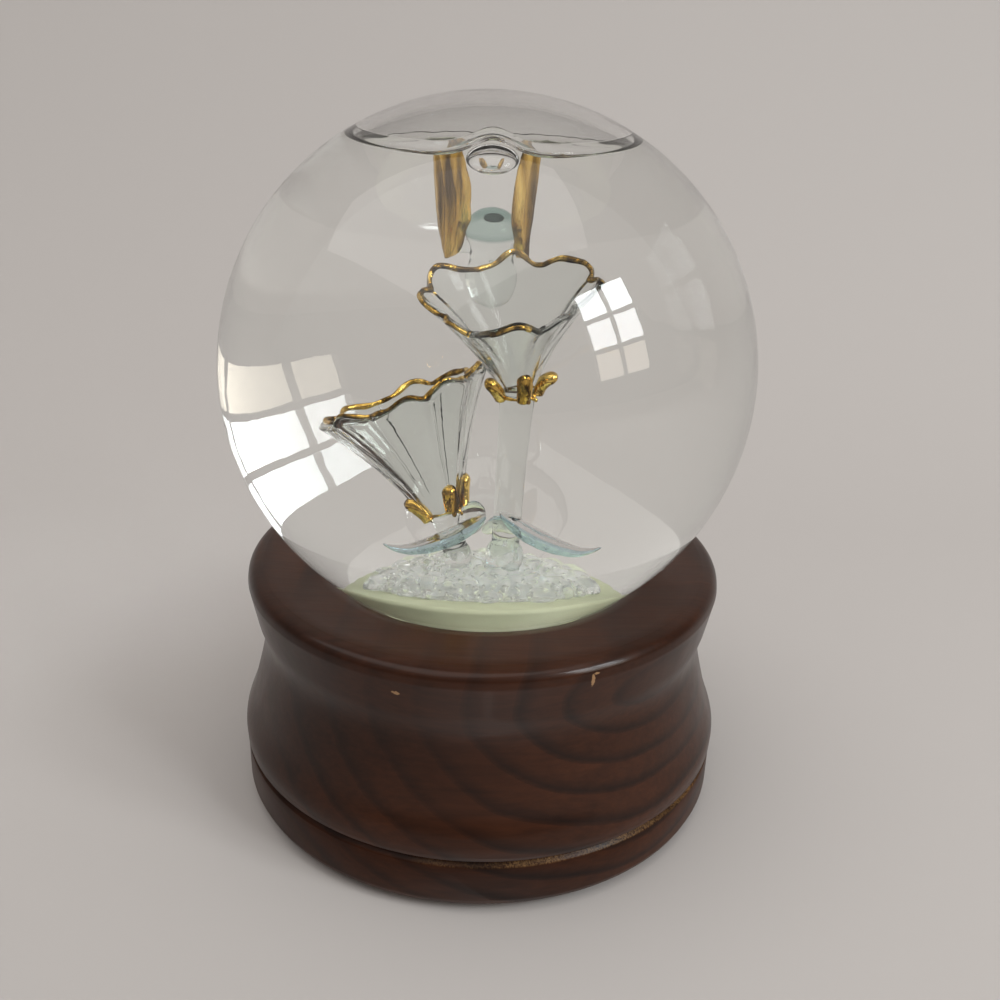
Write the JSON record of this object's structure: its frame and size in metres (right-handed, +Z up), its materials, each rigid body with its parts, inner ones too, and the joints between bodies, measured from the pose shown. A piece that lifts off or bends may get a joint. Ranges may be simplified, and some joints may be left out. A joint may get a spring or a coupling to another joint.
{
  "type": "musical water globe",
  "caption": "Glass water globe with gold-edged glass flowers and a bird inside, on a turned wooden base that holds a wind-up musical movement.",
  "frame": {"origin": "on the table under the middle of the base", "axes": "+Z up through the globe, -Y towards the front, from which the flowers are seen"},
  "size_m": [0.1, 0.1, 0.1374],
  "materials": {
    "walnut_stain": "satin lacquer over a red-brown stain",
    "felt": "pressed felt",
    "fibreboard": "plain hardboard",
    "screw_steel": "zinc plated",
    "clear_glass": "polished",
    "plug_rubber": "cream, smooth",
    "adhesive": "cured silicone",
    "water": "clear water",
    "flower_glass": "lampworked, polished",
    "leaf_glass": "pale blue-green, lampworked",
    "bird_glass": "pale green, lampworked",
    "gold_lustre": "fired bright gold",
    "movement_zinc": "die cast",
    "spring_steel": "blued",
    "comb_steel": "ground",
    "movement_brass": "turned",
    "key_metal": "brass plated",
    "fan_plastic": "moulded"
  },
  "bodies": {
    "base": {"base_body": "walnut_stain", "felt_pads": "felt", "bottom_cover": "fibreboard", "cover_screws": "screw_steel", "glass_globe": "clear_glass", "rubber_plug": "plug_rubber", "globe_adhesive": "adhesive", "liquid": "water", "glass_mound": "flower_glass", "main_stem": "flower_glass", "side_stem": "flower_glass", "leaves": "leaf_glass", "big_lily": "flower_glass", "big_lily_rim": "gold_lustre", "big_lily_calyx": "gold_lustre", "side_lily": "flower_glass", "side_lily_rim": "gold_lustre", "side_lily_calyx": "gold_lustre", "bird_body": "bird_glass", "bird_wing_left": "gold_lustre", "bird_wing_right": "gold_lustre", "movement_plate": "movement_zinc", "movement_screws": "screw_steel", "spring_housing": "movement_zinc", "mainspring": "spring_steel", "comb_block": "movement_zinc", "comb": "comb_steel", "comb_screws": "screw_steel", "cylinder_brackets": "movement_zinc", "governor_frame": "movement_zinc"},
    "winding": {"great_wheel": "movement_brass", "winding_arbor": "spring_steel", "winding_key": "key_metal"},
    "cylinder": {"pin_cylinder": "movement_brass", "cylinder_shaft": "spring_steel", "cylinder_gear": "movement_brass"},
    "governor": {"governor_gear": "movement_brass"},
    "fan": {"fan_worm": "spring_steel", "fan_blades": "fan_plastic"}
  },
  "joints": [
    {"name": "key_turn", "type": "hinge", "parent": "base", "child": "winding", "pos_m": [-0.011, 0.004, 0.02], "axis": [0, 0, 1], "continuous": true},
    {"name": "cylinder_spin", "type": "hinge", "parent": "base", "child": "cylinder", "pos_m": [0.014, 0.004, 0.0239], "axis": [1, 0, 0], "continuous": true},
    {"name": "governor_spin", "type": "hinge", "parent": "base", "child": "governor", "pos_m": [0.014, 0.01368, 0.0239], "axis": [1, 0, 0], "continuous": true},
    {"name": "fan_spin", "type": "hinge", "parent": "base", "child": "fan", "pos_m": [0.013, 0.01726, 0.0239], "axis": [0, 0, 1], "continuous": true}
  ],
  "couplings": [
    {"joint": "cylinder_spin", "follows": "key_turn", "ratio": -4},
    {"joint": "governor_spin", "follows": "key_turn", "ratio": 12},
    {"joint": "fan_spin", "follows": "key_turn", "ratio": -72}
  ]
}
